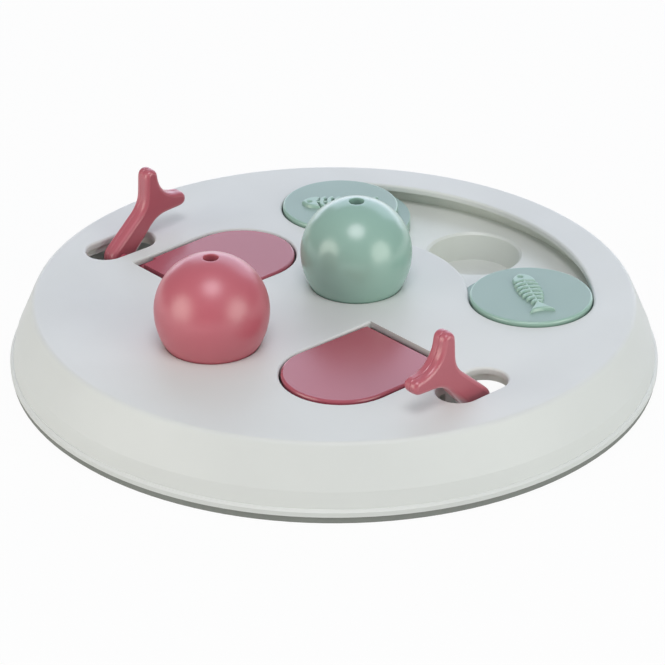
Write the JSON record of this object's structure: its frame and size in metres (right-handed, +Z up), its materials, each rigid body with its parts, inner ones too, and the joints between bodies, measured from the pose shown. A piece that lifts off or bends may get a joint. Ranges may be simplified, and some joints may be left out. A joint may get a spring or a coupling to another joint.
{
  "type": "cat puzzle board",
  "caption": "Round cat puzzle board with covers that slide along a curved channel of treat bowls, lift-off domes over treat cups, and flap lids opened by fish-tail levers.",
  "frame": {"origin": "centre of the ground ring's underside, on the floor", "axes": "+Z up; +Y from the centre towards the middle bowl of the channel; +X towards the right lid and lever"},
  "size_m": [0.25, 0.25, 0.0623],
  "materials": {
    "shell_grey": "satin moulded, light grey",
    "tray_grey": "satin moulded, warm light grey",
    "ring_rubber": "matt, mid grey",
    "red_plastic": "semi-gloss, dusty red",
    "mint_plastic": "semi-gloss, pale mint",
    "screw_steel": "zinc plated"
  },
  "bodies": {
    "board": {"top_shell": "shell_grey", "ground_ring": "ring_rubber", "channel_tray": "tray_grey", "left_pan": "tray_grey", "right_pan": "tray_grey", "tray_screws": "screw_steel", "pan_screws": "screw_steel"},
    "front_cover": {"front_slider": "mint_plastic"},
    "back_cover": {"back_slider": "mint_plastic"},
    "left_lever": {"left_lid": "red_plastic", "left_tail": "red_plastic"},
    "right_lever": {"right_lid": "red_plastic", "right_tail": "red_plastic"},
    "red_dome": {"red_dome": "red_plastic"},
    "mint_dome": {"mint_dome": "mint_plastic"}
  },
  "joints": [
    {"name": "front_cover_slide", "type": "hinge", "parent": "board", "child": "front_cover", "pos_m": [0, 0, 0.0241], "axis": [0, 0, 1], "range_deg": [0, 46]},
    {"name": "back_cover_slide", "type": "hinge", "parent": "board", "child": "back_cover", "pos_m": [0, 0, 0.0241], "axis": [0, 0, 1], "range_deg": [-46, 0]},
    {"name": "left_lever_hinge", "type": "hinge", "parent": "board", "child": "left_lever", "pos_m": [-0.0491, -0.03652, 0.0224], "axis": [1, 0, 0], "range_deg": [0, 75]},
    {"name": "right_lever_hinge", "type": "hinge", "parent": "board", "child": "right_lever", "pos_m": [0.0503, -0.01172, 0.0224], "axis": [-1, 0, 0], "range_deg": [0, 75]},
    {"name": "red_dome_lift", "type": "slide", "parent": "board", "child": "red_dome", "axis": [0, 0, 1], "range_m": [0, 0.06]},
    {"name": "mint_dome_lift", "type": "slide", "parent": "board", "child": "mint_dome", "axis": [0, 0, 1], "range_m": [0, 0.06]}
  ]
}
